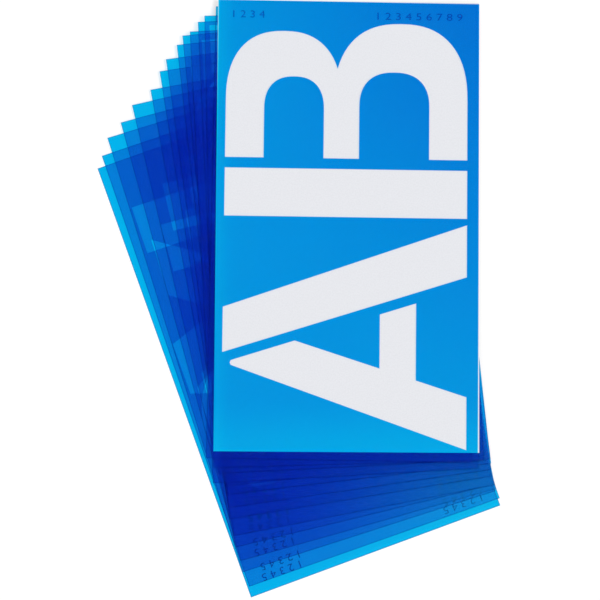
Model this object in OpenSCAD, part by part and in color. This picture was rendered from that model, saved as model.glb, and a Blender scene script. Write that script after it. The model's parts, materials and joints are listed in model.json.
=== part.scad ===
// Set of loose film stencils for painting and tracing large capital letters.
// Each sheet is a thin blue see-through film with one or two letters cut through it.
// The sheets are fanned out by hand on a table, and the one in use lies on top, on a white card.
// Units are millimetres. X runs across the sheet on top, Y along it and Z up from the table.

/* [Film sheets] */
// Number of film sheets in the set
sheet_count = 15; // [3:1:15]
// Length of a sheet, along the line of lettering
sheet_l = 284; // [250:0.5:340]
// Thickness of the film
film_t = 0.3; // [0.2:0.05:1]
// Air between one loose sheet and the next
sheet_gap = 0.05; // [0.03:0.01:0.3]

/* [Backing card] */
// Thickness of the white card under the sheet on top
card_t = 0.45; // [0.3:0.05:2]
// How far the card is turned against the sheet on top, in degrees
card_turn = 0.25; // [0:0.05:3]
// How far the card has slipped to the right under the sheet on top
card_slip_x = 0.3; // [0:0.1:5]
// How far the card has slipped up under the sheet on top
card_slip_y = 0.5; // [0:0.1:5]

/* [Lettering] */
// Height of the capital letters
cap_h = 152.4; // [130:0.4:200]
// Width of upright strokes
stem_w = 30.4; // [20:0.2:34]
// Height of level strokes
arm_w = 24.2; // [16:0.2:28]
// Width of the film bridges that cross the letters
bridge_w = 6.6; // [3:0.2:10]
// Least film between two letters
letter_gap = 4; // [3:0.5:12]
// How far round letters reach past the flat ones, up and down
overshoot = 1.6; // [0:0.2:2]
// Radius of the rounded tip of the letter A
tip_r = 1.8; // [0.5:0.1:3]

/* [Margins] */
// Film below the feet of the letters
foot_margin = 7.2; // [5:0.2:20]
// Film above the heads of the letters
head_margin = 5.4; // [4:0.2:20]
// Film before the first letter
start_margin = 2.4; // [2:0.2:20]
// Film after the last letter, where the sheet has its small print
end_margin = 13.6; // [6:0.2:30]

/* [Fan] */
// Turn of the lowest sheet against the one on top, in degrees
fan_turn = 20.6; // [0:0.2:40]
// Point that the sheets are fanned about, to the right of the middle of the sheet on top
fan_x = 177; // [100:1:260]
// The same point, below the middle of the sheet on top
fan_y = 117; // [0:1:160]
// Step in which the loose sheets have slipped, across and along
slip_step = 0.5; // [0:0.1:1]

/* [Colours] */
// Colour of one film sheet
film_colour = "#00A5E6";
// Colour of the card
card_colour = "#E9EAEF";

/* [Hidden] */
// Letters on each sheet, from the top of the pile down: the whole alphabet, with the sheets out of order
words = ["AB", "LM", "PQ", "NO", "RS", "GH", "EF", "CD", "YZ", "W", "TU", "K", "X", "IJ", "V"];
// How much further each sheet is turned than the one above it, in parts of the whole turn
turn_steps = [0, -0.4, 2.4, 1.5, 0.3, 2.6, 0.9, 1.5, 1, 1.7, 2.6, 2.1, 2, 1.6, 0.8];
// How many steps each sheet has slipped from its place in the fan, across it and along it
slips = [
    [0, 0], [-7, -12], [0, -2], [5, 4], [-3, -5], [11, 14], [11, 11], [9, 8], [8, 3], [8, -3],
    [5, 6], [5, 7], [2, 11], [3, 6], [0, 0]];
sheet_w = foot_margin + cap_h + head_margin;
pitch = film_t + sheet_gap;
// The line of lettering, and the width that each of two letters of middle width gets in it
line_l = sheet_l - start_margin - end_margin;
unit = (line_l - letter_gap) / 2;
// Steps in each quarter of a round stroke
curve_steps = 18;
// Squareness of round strokes: 2 is an ellipse, and more is squarer
square_n = 2.4;
// How far a cutting shape reaches past the edge that it cuts
past = 1;

function total(list, upto) = upto < 0 ? 0 : list[upto] + total(list, upto - 1);
function sheet_turn(n) =
    fan_turn * total(turn_steps, n - 1) / total(turn_steps, sheet_count - 1);
function slip(n) = slip_step * slips[n - 1];
function turned(p, a) = [p.x * cos(a) - p.y * sin(a), p.x * sin(a) + p.y * cos(a)];

// Fan centre, measured from the middle of the sheet on top
fan_centre = [fan_x, -fan_y];
function corner(n, sx, sy) =
    fan_centre
    + turned([sx * sheet_w / 2, sy * sheet_l / 2] + slip(n) - fan_centre, sheet_turn(n));
card_slip = [card_slip_x, card_slip_y];
function card_corner(sx, sy) =
    card_slip + turned([sx * sheet_w / 2, sy * sheet_l / 2], card_turn);
corners = concat(
    [for (n = [1:sheet_count], sx = [-1, 1], sy = [-1, 1]) corner(n, sx, sy)],
    [for (sx = [-1, 1], sy = [-1, 1]) card_corner(sx, sy)]);
low = [min([for (p = corners) p.x]), min([for (p = corners) p.y])];
high = [max([for (p = corners) p.x]), max([for (p = corners) p.y])];
// The origin is the middle of the fan's footprint, on the table
top_centre = -(low + high) / 2;
card_z = (sheet_count - 1) * pitch;

function sheet_name(n) = str("stencil_", n < 10 ? "0" : "", n);
function sheet_z(n) = n == 1 ? card_z + card_t + sheet_gap : (sheet_count - n) * pitch;

// Points along a squared ellipse of half width rx and half height ry, from one angle to another
function bend(c, rx, ry, from, to) = [
    for (a = [from:90 / curve_steps:to])
        c + [rx * sign(cos(a)) * pow(abs(cos(a)), 2 / square_n),
             ry * sign(sin(a)) * pow(abs(sin(a)), 2 / square_n)]
];

// Points of a circular arc that rounds the corner b between the straight edges from a and to c
function soft_corner(a, b, c, r) =
    let (
        to_a = (a - b) / norm(a - b),
        to_c = (c - b) / norm(c - b),
        half = acos(to_a * to_c) / 2,
        middle = b + (to_a + to_c) / norm(to_a + to_c) * r / sin(half),
        reach = r / tan(half)
    )
    [for (i = [0:6])
        let (v = b + to_a * reach * (1 - i / 6) + to_c * reach * i / 6 - middle)
        middle + v / norm(v) * r];

// Widths of the letters: a straight stroke for I, and shares of the unit for the rest
function letter_width(c) =
    c == "I" ? stem_w :
    unit * lookup(ord(c), [
        [65, 1.065], [66, 0.935], [67, 1], [68, 0.95], [69, 0.84], [70, 0.79], [71, 1.02],
        [72, 0.94], [74, 0.72], [75, 1.02], [76, 0.8], [77, 1.14], [78, 0.95], [79, 1.05],
        [80, 0.9], [81, 1.05], [82, 0.97], [83, 0.93], [84, 0.93], [85, 0.94], [86, 1],
        [87, 1.48], [88, 1.01], [89, 0.98], [90, 0.9]]);
function word_width(word, upto) =
    upto < 0 ? 0 : letter_width(word[upto]) + word_width(word, upto - 1);

// Strokes that the letters are made of

// Level or upright bar between two opposite corners
module bar(x0, y0, x1, y1) translate([x0, y0]) square([x1 - x0, y1 - y0]);

// Sloping bar of a level width w, from its foot at x0 to its head at x1
module slope(x0, x1, w, y0 = 0, y1 = cap_h)
    polygon([[x0, y0], [x0 + w, y0], [x1 + w, y1], [x1, y1]]);

// Bowl with a flat left side, round on the right over a length rx
module bowl(x0, x1, y0, y1, rx)
    polygon(concat([[x0, y0]], bend([x1 - rx, (y0 + y1) / 2], rx, (y1 - y0) / 2, -90, 90), [[x0, y1]]));

// Squared ellipse that fills a box
module oval(x0, x1, y0, y1)
    polygon(bend([x0 + x1, y0 + y1] / 2, (x1 - x0) / 2, (y1 - y0) / 2, 0, 360 - 90 / curve_steps));

// Round stroke that fills the height of a letter, as in O
module ring(w, y0 = -overshoot, y1 = cap_h + overshoot) difference() {
    oval(0, w, y0, y1);
    oval(stem_w, w - stem_w, y0 + arm_w, y1 - arm_w);
}

// Stem with a film bridge beside it, so that closed letters keep their middles
bowl_x = stem_w + bridge_w;
module bridged_stem() bar(0, 0, stem_w, cap_h);

// Letters, each drawn from its left foot at the origin, as the hole that is cut

// Sharp left leg and crossbar in one, with the bridge along the right leg
module letter_A(w) {
    foot = stem_w * 1.08;
    head = stem_w * 0.93;
    apex_l = w * 0.378;
    apex_r = w - apex_l;
    bar_y0 = cap_h * 0.208;
    bar_y1 = bar_y0 + arm_w * 0.94;
    run = (w - foot - apex_r + head) / cap_h;
    left_run = apex_l / cap_h;
    inner_run = left_run * 0.91;
    bridge_x = w - foot - bridge_w;
    tip_y = bridge_x / (left_run + run);
    join_y = (bridge_x - foot) / (inner_run + run);
    tip = [left_run * tip_y, tip_y];
    join = [bridge_x - run * join_y, join_y];
    polygon(concat(
        [[0, 0], [foot, 0], [foot + inner_run * bar_y0, bar_y0], [bridge_x - run * bar_y0, bar_y0],
         [bridge_x - run * bar_y1, bar_y1], [foot + inner_run * bar_y1, bar_y1], join],
        soft_corner(join, tip, [0, 0], tip_r)));
    polygon([[w - foot, 0], [w, 0], [apex_r, cap_h], [apex_r - head, cap_h]]);
}

// Stem, and two bowls that meet at a waist
module letter_B(w) {
    upper_x = w * 0.954;
    upper_y = cap_h * 0.522;
    lower_y = cap_h * 0.553;
    waist_y0 = cap_h * 0.448;
    waist_y1 = waist_y0 + arm_w * 0.925;
    upper_wall = stem_w * 0.954;
    lower_wall = stem_w * 1.026;
    bridged_stem();
    difference() {
        union() {
            bowl(bowl_x, upper_x, upper_y, cap_h, w * 0.36);
            bowl(bowl_x, w, 0, lower_y, w * 0.4);
        }
        bowl(bowl_x - past, upper_x - upper_wall, waist_y1, cap_h - arm_w, w * 0.17);
        bowl(bowl_x - past, w - lower_wall, arm_w, waist_y0, w * 0.18);
    }
}

module letter_C(w) difference() {
    ring(w);
    bar(w / 2, cap_h * 0.36, w + past, cap_h * 0.64);
}

module letter_D(w) {
    bridged_stem();
    difference() {
        bowl(bowl_x, w, 0, cap_h, w * 0.5);
        bowl(bowl_x - past, w - stem_w, arm_w, cap_h - arm_w, w * 0.28);
    }
}

module letter_E(w) {
    letter_F(w);
    bar(0, 0, w, arm_w);
}

module letter_F(w) {
    waist_y = cap_h * 0.448;
    bar(0, 0, stem_w, cap_h);
    bar(0, cap_h - arm_w, w, cap_h);
    bar(0, waist_y, w * 0.92, waist_y + arm_w * 0.94);
}

module letter_G(w) {
    difference() {
        ring(w);
        bar(w / 2, cap_h * 0.48, w + past, cap_h * 0.66);
    }
    bar(w * 0.54, cap_h * 0.48 - arm_w, w, cap_h * 0.48);
    bar(w - stem_w * 0.8, 0, w, cap_h * 0.48);
}

module letter_H(w) {
    waist_y = (cap_h - arm_w) / 2;
    bar(0, 0, stem_w, cap_h);
    bar(w - stem_w, 0, w, cap_h);
    bar(0, waist_y, w, waist_y + arm_w);
}

module letter_I(w) bar(0, 0, w, cap_h);

module letter_J(w) {
    hook_y = cap_h * 0.34;
    difference() {
        ring(w, -overshoot, hook_y * 2);
        bar(-past, hook_y, w + past, cap_h);
    }
    bar(w - stem_w, hook_y, w, cap_h);
}

module letter_K(w) {
    arm = stem_w * 1.25;
    bar(0, 0, stem_w, cap_h);
    polygon([[stem_w, cap_h * 0.33], [stem_w, cap_h * 0.61], [w - arm, cap_h], [w, cap_h]]);
    polygon([[w - arm, 0], [w, 0], [w * 0.55, cap_h * 0.68], [w * 0.36, cap_h * 0.5]]);
}

module letter_L(w) {
    bar(0, 0, stem_w, cap_h);
    bar(0, 0, w, arm_w);
}

module letter_M(w) {
    side = stem_w * 0.94;
    vee = stem_w * 0.98;
    bar(0, 0, side, cap_h);
    bar(w - side, 0, w, cap_h);
    slope((w - vee) / 2, 0, vee);
    slope((w - vee) / 2, w - vee, vee);
}

module letter_N(w) {
    bar(0, 0, stem_w, cap_h);
    bar(w - stem_w, 0, w, cap_h);
    slope(w - stem_w * 1.15, 0, stem_w * 1.15);
}

module letter_O(w) difference() {
    ring(w);
    bar((w - bridge_w) / 2, -cap_h, (w + bridge_w) / 2, cap_h * 2);
}

module letter_P(w) {
    bowl_y = cap_h * 0.38;
    bridged_stem();
    difference() {
        bowl(bowl_x, w, bowl_y, cap_h, w * 0.4);
        bowl(bowl_x - past, w - stem_w, bowl_y + arm_w, cap_h - arm_w, w * 0.2);
    }
}

module letter_Q(w) {
    letter_O(w);
    slope(w * 0.92, w * 0.66, stem_w * 0.6, -overshoot, cap_h * 0.26);
}

module letter_R(w) {
    bowl_y = cap_h * 0.4;
    leg = stem_w * 1.12;
    bridged_stem();
    difference() {
        bowl(bowl_x, w, bowl_y, cap_h, w * 0.36);
        bowl(bowl_x - past, w - stem_w, bowl_y + arm_w, cap_h - arm_w, w * 0.18);
    }
    slope(w - leg, w * 0.46, leg, 0, bowl_y + arm_w / 2);
}

module letter_S(w) {
    lower_y = (cap_h + arm_w) / 2;
    upper_y = (cap_h - arm_w) / 2;
    difference() {
        ring(w, -overshoot, lower_y);
        bar(-past, cap_h * 0.32, w / 2, cap_h);
    }
    difference() {
        ring(w, upper_y, cap_h + overshoot);
        bar(w / 2, 0, w + past, cap_h * 0.68);
    }
}

module letter_T(w) {
    bar((w - stem_w) / 2, 0, (w + stem_w) / 2, cap_h);
    bar(0, cap_h - arm_w, w, cap_h);
}

module letter_U(w) {
    bend_y = cap_h * 0.36;
    difference() {
        ring(w, -overshoot, bend_y * 2);
        bar(-past, bend_y, w + past, cap_h);
    }
    bar(0, bend_y, stem_w, cap_h);
    bar(w - stem_w, bend_y, w, cap_h);
}

module letter_V(w) {
    leg = stem_w * 1.08;
    slope((w - leg) / 2, 0, leg);
    slope((w - leg) / 2, w - leg, leg);
}

module letter_W(w) {
    leg = stem_w * 1.04;
    foot_x = w * 0.29 - leg / 2;
    slope(foot_x, 0, leg);
    slope(foot_x, (w - leg) / 2, leg);
    slope(w - foot_x - leg, (w - leg) / 2, leg);
    slope(w - foot_x - leg, w - leg, leg);
}

module letter_X(w) {
    leg = stem_w * 1.2;
    slope(0, w - leg, leg);
    slope(w - leg, 0, leg);
}

module letter_Y(w) {
    leg = stem_w * 1.12;
    fork_y = cap_h * 0.38;
    bar((w - stem_w) / 2, 0, (w + stem_w) / 2, fork_y + arm_w);
    slope((w - leg) / 2, 0, leg, fork_y);
    slope((w - leg) / 2, w - leg, leg, fork_y);
}

module letter_Z(w) {
    leg = stem_w * 1.3;
    bar(0, 0, w, arm_w);
    bar(0, cap_h - arm_w, w, cap_h);
    slope(0, w - leg, leg, arm_w * 0.9, cap_h - arm_w * 0.9);
}

module letter(c) {
    w = letter_width(c);
    if (c == "A") letter_A(w);
    if (c == "B") letter_B(w);
    if (c == "C") letter_C(w);
    if (c == "D") letter_D(w);
    if (c == "E") letter_E(w);
    if (c == "F") letter_F(w);
    if (c == "G") letter_G(w);
    if (c == "H") letter_H(w);
    if (c == "I") letter_I(w);
    if (c == "J") letter_J(w);
    if (c == "K") letter_K(w);
    if (c == "L") letter_L(w);
    if (c == "M") letter_M(w);
    if (c == "N") letter_N(w);
    if (c == "O") letter_O(w);
    if (c == "P") letter_P(w);
    if (c == "Q") letter_Q(w);
    if (c == "R") letter_R(w);
    if (c == "S") letter_S(w);
    if (c == "T") letter_T(w);
    if (c == "U") letter_U(w);
    if (c == "V") letter_V(w);
    if (c == "W") letter_W(w);
    if (c == "X") letter_X(w);
    if (c == "Y") letter_Y(w);
    if (c == "Z") letter_Z(w);
}

// The letters of one sheet on their line, with spare room shared out beside each of them
module lettering(word) {
    count = len(word);
    spare = line_l - word_width(word, count - 1) - (count - 1) * letter_gap;
    for (i = [0:count - 1])
        translate([word_width(word, i - 1) + i * letter_gap + (i + 0.5) * spare / count, 0])
            letter(word[i]);
}

// One sheet with its middle at the origin and its letters reading along Y
module stencil_outline(word) difference() {
    square([sheet_w, sheet_l], center = true);
    translate([sheet_w / 2 - foot_margin, start_margin - sheet_l / 2]) rotate(90) lettering(word);
}

// Film sheet in its place in the fan. The sheets below the top one lie the other way round.
module stencil_sheet(n)
    color(film_colour, 0.6)
    translate(concat(top_centre + fan_centre, sheet_z(n)))
    rotate(sheet_turn(n))
    translate(slip(n) - fan_centre)
    rotate(n == 1 ? 0 : 180)
    linear_extrude(film_t) stencil_outline(words[n - 1]);

// White card that lies under the sheet on top, so that its letters show
module backing_card()
    color(card_colour)
    translate(concat(top_centre + card_slip, card_z))
    rotate(card_turn)
    linear_extrude(card_t) square([sheet_w, sheet_l], center = true);

for (n = [1:sheet_count]) stencil_sheet(n);
backing_card();
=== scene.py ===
# Dresses the fanned set of see-through lettering stencils and lights it on a white table.
import json
import math

import bmesh
import bpy
from mathutils import Matrix, Vector


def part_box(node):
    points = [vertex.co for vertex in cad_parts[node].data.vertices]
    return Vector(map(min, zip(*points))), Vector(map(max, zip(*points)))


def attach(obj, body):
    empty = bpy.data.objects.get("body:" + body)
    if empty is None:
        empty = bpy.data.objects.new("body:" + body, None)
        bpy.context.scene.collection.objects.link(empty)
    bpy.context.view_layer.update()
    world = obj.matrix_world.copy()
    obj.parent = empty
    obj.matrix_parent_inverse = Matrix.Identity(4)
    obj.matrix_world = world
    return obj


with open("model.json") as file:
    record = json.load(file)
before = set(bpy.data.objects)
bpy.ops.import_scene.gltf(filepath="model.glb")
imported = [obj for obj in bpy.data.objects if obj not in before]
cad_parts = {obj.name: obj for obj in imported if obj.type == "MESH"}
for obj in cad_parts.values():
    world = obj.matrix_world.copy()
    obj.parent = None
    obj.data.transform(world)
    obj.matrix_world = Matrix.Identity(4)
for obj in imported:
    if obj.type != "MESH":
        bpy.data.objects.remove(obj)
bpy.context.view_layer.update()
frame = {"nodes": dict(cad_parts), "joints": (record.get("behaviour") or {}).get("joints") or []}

# Where the picture is taken from: a long lens a metre above the table, looking almost straight down.
# Its place is given from the middle of the sheet on top, which lies nearly square to the picture.
MM = 0.001
lowest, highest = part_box("stencil_01")
sheet_wide = highest.x - lowest.x
sheet_long = highest.y - lowest.y
top_middle = Vector(((lowest.x + highest.x) / 2, (lowest.y + highest.y) / 2, highest.z))

tip_down = math.radians(-4.21)
lean_side = math.radians(1.55)
roll = math.radians(-0.64)
looks = (
    Matrix.Rotation(tip_down, 3, "X") @ Matrix.Rotation(lean_side, 3, "Y") @ Matrix.Rotation(roll, 3, "Z")
).transposed()
top_middle_from_lens = Vector((29.58, 46.87, -1043.56)) * MM

lens = bpy.data.cameras.new("overhead_camera")
lens.sensor_width = 36
lens.lens = 100.02
lens.clip_start = 0.05
lens.clip_end = 50
camera = bpy.data.objects.new("overhead_camera", lens)
bpy.context.scene.collection.objects.link(camera)
camera.matrix_world = (
    Matrix.Translation(top_middle - looks @ top_middle_from_lens) @ looks.to_4x4()
)
bpy.context.scene.camera = camera

# The film sheets: thin blue polyester, see-through and dyed all the way through, so that each layer
# deepens the blue. A dark line of painted shade runs round the edge of each one, and the lower they lie,
# the more milk they are given towards their right side, which makes them paler there.
film_tint = (0.003, 0.79, 0.936, 1)
film_milk = (0.0, 0.063, 1.0, 1)
milk_share = 0.053
milk_uneven = 0.006
# Extra milk for the lower sheets towards their right side, which makes them paler there.
right_side_milk = (0.0, 0.5, 1.0, 1)
right_side_share = 0.07
right_side_from = -0.4
right_side_to = 0.5
fullest_right_side_sheet = 11
# A painted line of shade round the edge of each sheet: how wide it is, and the tint it darkens to.
painted_shade_line_wide = 0.52 * MM
painted_shade_line_tint = (0.0, 0.5, 0.72, 1)
film_bend = 1.28
film_roughness = 0.22
wave_scale = 9.0
wave_spread = (0.3, 0.7)
wave_high = 0.2 * MM
wave_strength = 0.15
grain_scale = 2600.0
grain_spread = (0.35, 0.65)
swings = {joint["child"]: joint for joint in frame["joints"] if joint["type"] == "hinge"}
whole_turn = swings["backing_card"]["range_deg"][1]
sheet_names = sorted(name for name in frame["nodes"] if name.startswith("stencil_"))
top_sheet = sheet_names[0]


def turn_of(name):
    """How far a sheet is turned from square, in radians: the lowest one is turned by the whole fan."""
    if name == top_sheet:
        return 0.0
    left_to_turn = swings[name]["range_deg"][1] if name in swings else 0.0
    return math.radians(whole_turn - left_to_turn)


def middle_of(name):
    low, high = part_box(name)
    return Vector(((low.x + high.x) / 2, (low.y + high.y) / 2, high.z))


class Nodes:
    """A material's node tree, with a short way to add a node and link into it."""

    def __init__(self, material):
        material.use_nodes = True
        self.tree = material.node_tree
        self.tree.nodes.clear()

    def add(self, kind, settings=None, **inputs):
        node = self.tree.nodes.new(kind)
        for name, value in (settings or {}).items():
            setattr(node, name, value)
        for name, value in inputs.items():
            self.into(node, int(name[1:]) if name[0] == "_" else name.replace("_", " "), value)
        return node

    def into(self, node, socket, value):
        if isinstance(value, bpy.types.NodeSocket):
            self.tree.links.new(value, node.inputs[socket])
        else:
            node.inputs[socket].default_value = value

    def reckon(self, operation, *values):
        node = self.add("ShaderNodeMath", {"operation": operation})
        for place, value in enumerate(values):
            self.into(node, place, value)
        return node.outputs[0]

    def ramp(self, value, low, high, bottom=0.0, top=1.0):
        node = self.add("ShaderNodeMapRange", {"interpolation_type": "SMOOTHSTEP"})
        for place, number in enumerate((value, low, high, bottom, top)):
            self.into(node, place, number)
        return node.outputs[0]

    def blend(self, share, first, second):
        node = self.add("ShaderNodeMix", {"data_type": "RGBA"}, _0=share, _6=first, _7=second)
        return node.outputs[2]


def on_sheet(nodes, name):
    """Places on a sheet in metres, from its own middle and along its own edges."""
    here = nodes.add("ShaderNodeTexCoord").outputs["Object"]
    laid = nodes.add("ShaderNodeMapping", {"vector_type": "TEXTURE"}, Vector=here)
    laid.inputs["Location"].default_value = middle_of(name)
    laid.inputs["Rotation"].default_value = (0, 0, turn_of(name))
    return laid.outputs[0]


def painted_edge_shade(nodes, across, along):
    """A painted line of shade round the edge of the sheet: 1 on its edge, 0 a little way in."""
    to_side = nodes.reckon("SUBTRACT", sheet_wide / 2, nodes.reckon("ABSOLUTE", across))
    to_end = nodes.reckon("SUBTRACT", sheet_long / 2, nodes.reckon("ABSOLUTE", along))
    return nodes.ramp(nodes.reckon("MINIMUM", to_side, to_end), 0, painted_shade_line_wide, 1, 0)


def film(name, number, tint):
    """The film of one sheet. The tint is a function that makes a colour from a place on it."""
    material = bpy.data.materials.new("blue_film_" + name[-2:])
    nodes = Nodes(material)
    place = on_sheet(nodes, name)
    apart = nodes.add("ShaderNodeSeparateXYZ", Vector=place)
    across, along = apart.outputs["X"], apart.outputs["Y"]
    painted_shade_line = painted_edge_shade(nodes, across, along)
    waves = nodes.add(
        "ShaderNodeTexNoise", {"noise_dimensions": "4D"}, Vector=place, W=number, Scale=wave_scale
    ).outputs[0]
    grain = nodes.add("ShaderNodeTexNoise", Vector=place, Scale=grain_scale).outputs[0]
    uneven = nodes.ramp(waves, *wave_spread, -milk_uneven, milk_uneven)
    speckle = nodes.ramp(grain, *grain_spread, -milk_uneven, milk_uneven)
    milk = nodes.reckon("ADD", nodes.reckon("ADD", milk_share, uneven), speckle)
    # The lower the sheet, the more milk it is given towards its right side, which makes it paler there.
    right_side_most = min((number - 1) / (fullest_right_side_sheet - 1), 1)
    right_side_milkiness = nodes.ramp(across, right_side_from * sheet_wide, right_side_to * sheet_wide, 0, right_side_most)
    milk = nodes.reckon("MULTIPLY_ADD", right_side_milkiness, right_side_share, milk)
    # In the painted line of shade round the edge the milk is taken away, which darkens it.
    milk = nodes.reckon("MULTIPLY", milk, nodes.reckon("SUBTRACT", 1.0, painted_shade_line))

    # The bend is turned over on the way out of the film, so that both of its faces shine alike
    back = nodes.add("ShaderNodeNewGeometry").outputs["Backfacing"]
    bend = nodes.reckon("POWER", film_bend, nodes.reckon("MULTIPLY_ADD", back, -2.0, 1.0))
    sheen = nodes.add("ShaderNodeFresnel", IOR=bend).outputs[0]
    share = nodes.reckon("MINIMUM", nodes.reckon("ADD", milk, sheen), 1.0)

    bump = nodes.add("ShaderNodeBump", Strength=wave_strength, Distance=wave_high, Height=waves)
    through = nodes.add("ShaderNodeBsdfTransparent", Color=tint(nodes, across, along))
    body = nodes.add(
        "ShaderNodeBsdfPrincipled",
        Base_Color=nodes.blend(right_side_milkiness, film_milk, right_side_milk),
        Roughness=film_roughness,
        Normal=bump.outputs[0],
    )
    mixed = nodes.add("ShaderNodeMixShader", _0=share, _1=through.outputs[0], _2=body.outputs[0])
    nodes.add("ShaderNodeOutputMaterial", Surface=mixed.outputs[0])
    return material


def lower_tint(nodes, across, along):
    # The tint of the lower sheets turns darker in the painted line of shade round their edge.
    return nodes.blend(painted_edge_shade(nodes, across, along), film_tint, painted_shade_line_tint)


def dress(name, material):
    sheet = frame["nodes"][name]
    sheet.data.materials.clear()
    sheet.data.materials.append(material)


for number, name in enumerate(sheet_names[1:], 2):
    dress(name, film(name, number, lower_tint))

# The sheet on top: the same film, with A and B cut through it. Light and shade are painted into its tint:
# it is painted paler towards its foot and its left side and deeper towards its right and its head, and
# its edge has a painted highlight on the foot and the left side.
painted_shade_tint = (0.002, 0.711, 0.923, 1)
painted_light_tint = (0.002, 0.92, 0.986, 1)
painted_highlight_tint = (0.12, 0.95, 1.0, 1)
painted_highlight_wide = 1.3 * MM
painted_shade_to_right = 0.424
painted_shade_to_head = 0.576
painted_shade_to_corner = 0.48
painted_light_at_foot = 0.69
painted_light_at_foot_wide = 35 * MM
painted_light_at_side = 0.54
painted_light_at_side_wide = 12 * MM
painted_light_full_at = -1.75
painted_shade_full_at = 1.48


# The tint of the sheet on top, with painted light and shade across it and a painted highlight on the edge
# at its foot and left side.
def top_painted_light_tint(nodes, across, along):
    right = nodes.reckon("DIVIDE", across, sheet_wide / 2)
    up = nodes.reckon("DIVIDE", along, sheet_long / 2)
    from_left = nodes.reckon("ADD", across, sheet_wide / 2)
    from_foot = nodes.reckon("ADD", along, sheet_long / 2)
    # Painted light near the foot and near the left side.
    at_foot = nodes.ramp(from_foot, 0, painted_light_at_foot_wide, painted_light_at_foot, 0)
    at_side = nodes.ramp(from_left, 0, painted_light_at_side_wide, painted_light_at_side, 0)
    painted_corner_shade = nodes.reckon("MULTIPLY", nodes.reckon("MULTIPLY", right, up), painted_shade_to_corner)
    painted_shade_amount = nodes.reckon("MULTIPLY_ADD", right, painted_shade_to_right, painted_corner_shade)
    painted_shade_amount = nodes.reckon("MULTIPLY_ADD", up, painted_shade_to_head, painted_shade_amount)
    painted_shade_amount = nodes.reckon("SUBTRACT", painted_shade_amount, nodes.reckon("ADD", at_foot, at_side))
    painted_shade_share = nodes.add("ShaderNodeMapRange", _0=painted_shade_amount, _1=painted_light_full_at, _2=painted_shade_full_at).outputs[0]
    # A painted highlight along the edge at the foot and the left side.
    from_edge = nodes.reckon("MINIMUM", from_left, from_foot)
    painted_highlight = nodes.ramp(from_edge, 0, painted_highlight_wide, 1, 0)
    return nodes.blend(painted_highlight, nodes.blend(painted_shade_share, painted_light_tint, painted_shade_tint), painted_highlight_tint)


dress(top_sheet, film(top_sheet, 1, top_painted_light_tint))

# The rows of numbers: each sheet has two rows of plain numbers near one end, in a darker blue ink
# that has sunk into the film. On the lower sheets they are at the other end and upside down.
number_high = 4.6 * MM
number_foot = 11.1 * MM
left_margin = 9.3 * MM
right_margin = 10.6 * MM
top_left_wide = 20 * MM
top_right_wide = 54 * MM
lower_wide = 25 * MM
ink_thick = 0.02 * MM
ink_depth = 0.03 * MM
ink_tint = (0.05, 0.78, 0.93, 1)
ink_body = (0.0, 0.03, 0.3, 1)
ink_roughness = 0.5
ink_spot_scale = 1400.0
ink_spot_spread = (0.35, 0.65)
curve_steps = 3


def blue_ink(name, thinnest, thickest):
    """An ink that hides what is under it by a share between the two given."""
    material = bpy.data.materials.new(name)
    nodes = Nodes(material)
    here = nodes.add("ShaderNodeTexCoord").outputs["Object"]
    spots = nodes.add("ShaderNodeTexNoise", Vector=here, Scale=ink_spot_scale).outputs[0]
    cover = nodes.ramp(spots, *ink_spot_spread, thinnest, thickest)
    clear = nodes.add("ShaderNodeBsdfTransparent", Color=ink_tint)
    solid = nodes.add("ShaderNodeBsdfPrincipled", Base_Color=ink_body, Roughness=ink_roughness)
    mixed = nodes.add("ShaderNodeMixShader", _0=cover, _1=clear.outputs[0], _2=solid.outputs[0])
    nodes.add("ShaderNodeOutputMaterial", Surface=mixed.outputs[0])
    return material


thin_ink = blue_ink("thin_blue_ink", thinnest=0.03, thickest=0.1)
full_ink = blue_ink("full_blue_ink", thinnest=0.3, thickest=0.5)


def print_row(sheet, digits, wide, from_side, at_right, ink):
    """Lay one row of numbers in the film of a sheet, so far from one of its long sides."""
    curve = bpy.data.curves.new("digits", "FONT")
    curve.body = digits
    curve.resolution_u = curve_steps
    curve.extrude = 0.5
    holder = bpy.data.objects.new("digits", curve)
    bpy.context.scene.collection.objects.link(holder)
    bpy.context.view_layer.update()
    mesh = bpy.data.meshes.new_from_object(holder)
    bpy.data.objects.remove(holder)
    bpy.data.curves.remove(curve)

    corners = [point.co for point in mesh.vertices]
    low = Vector([min(p[axis] for p in corners) for axis in range(3)])
    size = Vector([max(p[axis] for p in corners) for axis in range(3)]) - low
    start = sheet_wide / 2 - from_side - wide if at_right else from_side - sheet_wide / 2
    upside_down = 0.0 if sheet == top_sheet else math.pi
    mesh.transform(
        Matrix.Translation(middle_of(sheet))
        @ Matrix.Rotation(turn_of(sheet) + upside_down, 4, "Z")
        @ Matrix.Translation((start, sheet_long / 2 - number_foot, -ink_depth))
        @ Matrix.Diagonal((wide / size.x, number_high / size.y, ink_thick / size.z, 1))
        @ Matrix.Translation(-low)
    )
    name = ("numbers_right_" if at_right else "numbers_left_") + sheet[-2:]
    row = bpy.data.objects.new(name, mesh)
    bpy.context.scene.collection.objects.link(row)
    mesh.materials.append(ink)
    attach(row, sheet)


print_row(top_sheet, "1 2 3 4", top_left_wide, left_margin, False, thin_ink)
print_row(top_sheet, "1 2 3 4 5 6 7 8 9", top_right_wide, right_margin, True, thin_ink)
for name in sheet_names[1:]:
    print_row(name, "1 2 3 4 5", lower_wide, left_margin, False, full_ink)
    print_row(name, "1 2 3 4 5", lower_wide, right_margin, True, full_ink)

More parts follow.
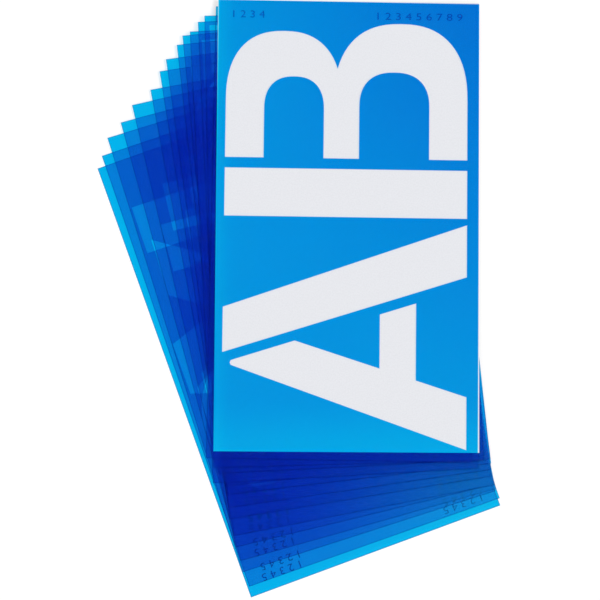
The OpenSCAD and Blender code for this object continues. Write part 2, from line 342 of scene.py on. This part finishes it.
# The backing card: a white board, cut to the size of a sheet, that lies under the sheet on top so that
# its letters show. Its face is uncoated, with a fine felt of fibres.
card_white = (0.812, 0.823, 0.863, 1)
card_shade = (0.775, 0.786, 0.826, 1)
card_roughness = 0.86
fibre_scale = 1100.0
fibre_detail = 4.0
fibre_roughness = 0.65
fibre_spread = (0.36, 0.64)
fibre_high = 0.06 * MM
fibre_strength = 0.3
card_paint = bpy.data.materials.new("white_card")
nodes = Nodes(card_paint)
here = nodes.add("ShaderNodeTexCoord").outputs["Object"]
fibres = nodes.add(
    "ShaderNodeTexNoise",
    Vector=here,
    Scale=fibre_scale,
    Detail=fibre_detail,
    Roughness=fibre_roughness,
).outputs[0]
felt = nodes.ramp(fibres, *fibre_spread)
felt_bump = nodes.add("ShaderNodeBump", Strength=fibre_strength, Distance=fibre_high, Height=fibres)
face = nodes.add(
    "ShaderNodeBsdfPrincipled",
    Base_Color=nodes.blend(felt, card_shade, card_white),
    Roughness=card_roughness,
    Normal=felt_bump.outputs[0],
)
nodes.add("ShaderNodeOutputMaterial", Surface=face.outputs[0])
dress("backing_card", card_paint)

# The table and the light: a plain white table in a white room, under two soft lights, from the right
# and from the front. Part of the table's white is a glow that only the picture sees, which leaves the
# shadow of the sheets on it.
table_half = 30
table_drop = 0.02 * MM
table_grey = (0.5, 0.5, 0.5, 1)
table_glow = 0.54
wall_white = (1, 1, 1, 1)
walls_light_up = 0.42
walls_show = 1.0
table_mesh = bpy.data.meshes.new("table")
shape = bmesh.new()
bmesh.ops.create_grid(shape, x_segments=1, y_segments=1, size=table_half)
shape.to_mesh(table_mesh)
shape.free()
table = bpy.data.objects.new("table", table_mesh)
bpy.context.scene.collection.objects.link(table)
table.location.z = -table_drop
table_paint = bpy.data.materials.new("table_white")
nodes = Nodes(table_paint)


def seen_directly(nodes):
    """1 for what the picture shows by itself or in gloss and glass, and 0 for what only lights the rest."""
    path = nodes.add("ShaderNodeLightPath")
    gloss = nodes.reckon("MAXIMUM", path.outputs["Is Camera Ray"], path.outputs["Is Glossy Ray"])
    return nodes.reckon("MAXIMUM", gloss, path.outputs["Is Transmission Ray"])


takes_light = nodes.add("ShaderNodeBsdfDiffuse", Color=table_grey)
shown = nodes.reckon("MULTIPLY", seen_directly(nodes), table_glow)
glow = nodes.add("ShaderNodeEmission", Strength=shown)
both = nodes.add("ShaderNodeAddShader", _0=takes_light.outputs[0], _1=glow.outputs[0])
nodes.add("ShaderNodeOutputMaterial", Surface=both.outputs[0])
table_mesh.materials.append(table_paint)

room = bpy.data.worlds.new("white_room")
bpy.context.scene.world = room
nodes = Nodes(room)
walls_light = nodes.add("ShaderNodeBackground", Color=wall_white, Strength=walls_light_up)
walls_seen = nodes.add("ShaderNodeBackground", Color=wall_white, Strength=walls_show)
walls = nodes.add(
    "ShaderNodeMixShader", _0=seen_directly(nodes), _1=walls_light.outputs[0], _2=walls_seen.outputs[0]
)
nodes.add("ShaderNodeOutputWorld", Surface=walls.outputs[0])


def soft_lamp(name, strength, wide, across, height):
    """A far, soft light whose rays come from the given angle across the picture and above the table."""
    lamp = bpy.data.lights.new(name, "SUN")
    lamp.energy = strength * math.pi / math.sin(math.radians(height))
    lamp.angle = math.radians(wide)
    holder = bpy.data.objects.new(name, lamp)
    bpy.context.scene.collection.objects.link(holder)
    holder.rotation_euler = (
        Matrix.Rotation(math.radians(across + 90), 3, "Z")
        @ Matrix.Rotation(math.radians(90 - height), 3, "X")
    ).to_euler()


soft_lamp("key_light", strength=0.42, wide=16, across=-15, height=58)
soft_lamp("fill_light", strength=0.16, wide=40, across=-100, height=60)

# The picture's settings: a ray goes through many layers of film, in at one face and out at the other,
# and colours are shown as they are.
faces_looked_through = 128
bpy.context.scene.cycles.transparent_max_bounces = faces_looked_through
bpy.context.scene.view_settings.view_transform = "Standard"
